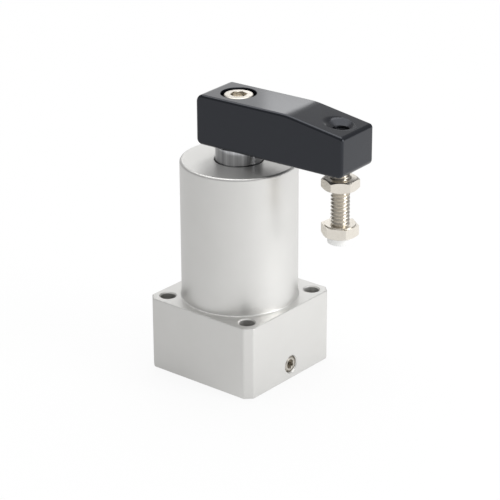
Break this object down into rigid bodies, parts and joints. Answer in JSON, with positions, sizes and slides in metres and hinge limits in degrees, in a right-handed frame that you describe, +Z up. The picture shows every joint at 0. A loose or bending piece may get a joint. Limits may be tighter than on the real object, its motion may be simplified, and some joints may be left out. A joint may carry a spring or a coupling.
{
  "type": "swing clamp cylinder",
  "caption": "Compact air cylinder on a square bolt-down block; its rod lifts and turns a sloped black clamping arm with an adjustable thrust screw, lock nut and plastic pad.",
  "frame": {"origin": "centre of the base face of the mounting block, on the rod's axis", "axes": "+Z up along the rod, +X towards the front side port and, within three degrees, along the clamped arm"},
  "size_m": [0.0703, 0.045, 0.098],
  "materials": {
    "anodised_aluminium": "satin, clear anodised with a fine machined grain",
    "turned_aluminium": "turned",
    "black_finish": "black, semi-gloss",
    "ground_steel": "ground and polished",
    "nickel_steel": "nickel plated",
    "spring_steel": "dark phosphate",
    "bronze": "bored and turned",
    "seal_rubber": "matt",
    "guide_plastic": "matt",
    "white_plastic": "satin, moulded"
  },
  "bodies": {
    "cylinder": {"housing": "anodised_aluminium", "bottom_cover": "turned_aluminium", "cover_o_ring": "seal_rubber", "retaining_ring": "spring_steel", "base_o_rings": "seal_rubber", "port_plug_front": "nickel_steel", "port_plug_rear": "nickel_steel", "guide_bush": "bronze", "guide_pins": "ground_steel", "rod_seal": "seal_rubber", "rod_wiper": "seal_rubber"},
    "piston_group": {"piston": "turned_aluminium", "piston_seal": "seal_rubber", "piston_guide_ring": "guide_plastic", "piston_o_ring": "seal_rubber"},
    "swing_group": {"piston_rod": "ground_steel", "piston_screw": "spring_steel", "clamp_arm": "black_finish", "arm_screw": "nickel_steel", "lock_nut": "nickel_steel"},
    "pad_group": {"thrust_pad": "white_plastic"},
    "screw_group": {"thrust_screw": "nickel_steel"}
  },
  "joints": [
    {"name": "rod_stroke", "type": "slide", "parent": "cylinder", "child": "piston_group", "axis": [0, 0, 1], "range_m": [0, 0.018]},
    {"name": "arm_swing", "type": "hinge", "parent": "piston_group", "child": "swing_group", "pos_m": [0, 0, 0.0805], "axis": [0, 0, 1], "range_deg": [0, 90]},
    {"name": "pad_travel", "type": "slide", "parent": "swing_group", "child": "pad_group", "axis": [0, 0, 1], "range_m": [-0.00508, 0.01143]},
    {"name": "screw_turn", "type": "hinge", "parent": "pad_group", "child": "screw_group", "pos_m": [0.04095, 0.002, 0.0615], "axis": [0, 0, 1], "range_deg": [-1440, 3240]}
  ],
  "couplings": [
    {"joint": "arm_swing", "follows": "rod_stroke", "rad_per_m": 87.266},
    {"joint": "pad_travel", "follows": "screw_turn", "m_per_rad": 0.00020213}
  ]
}
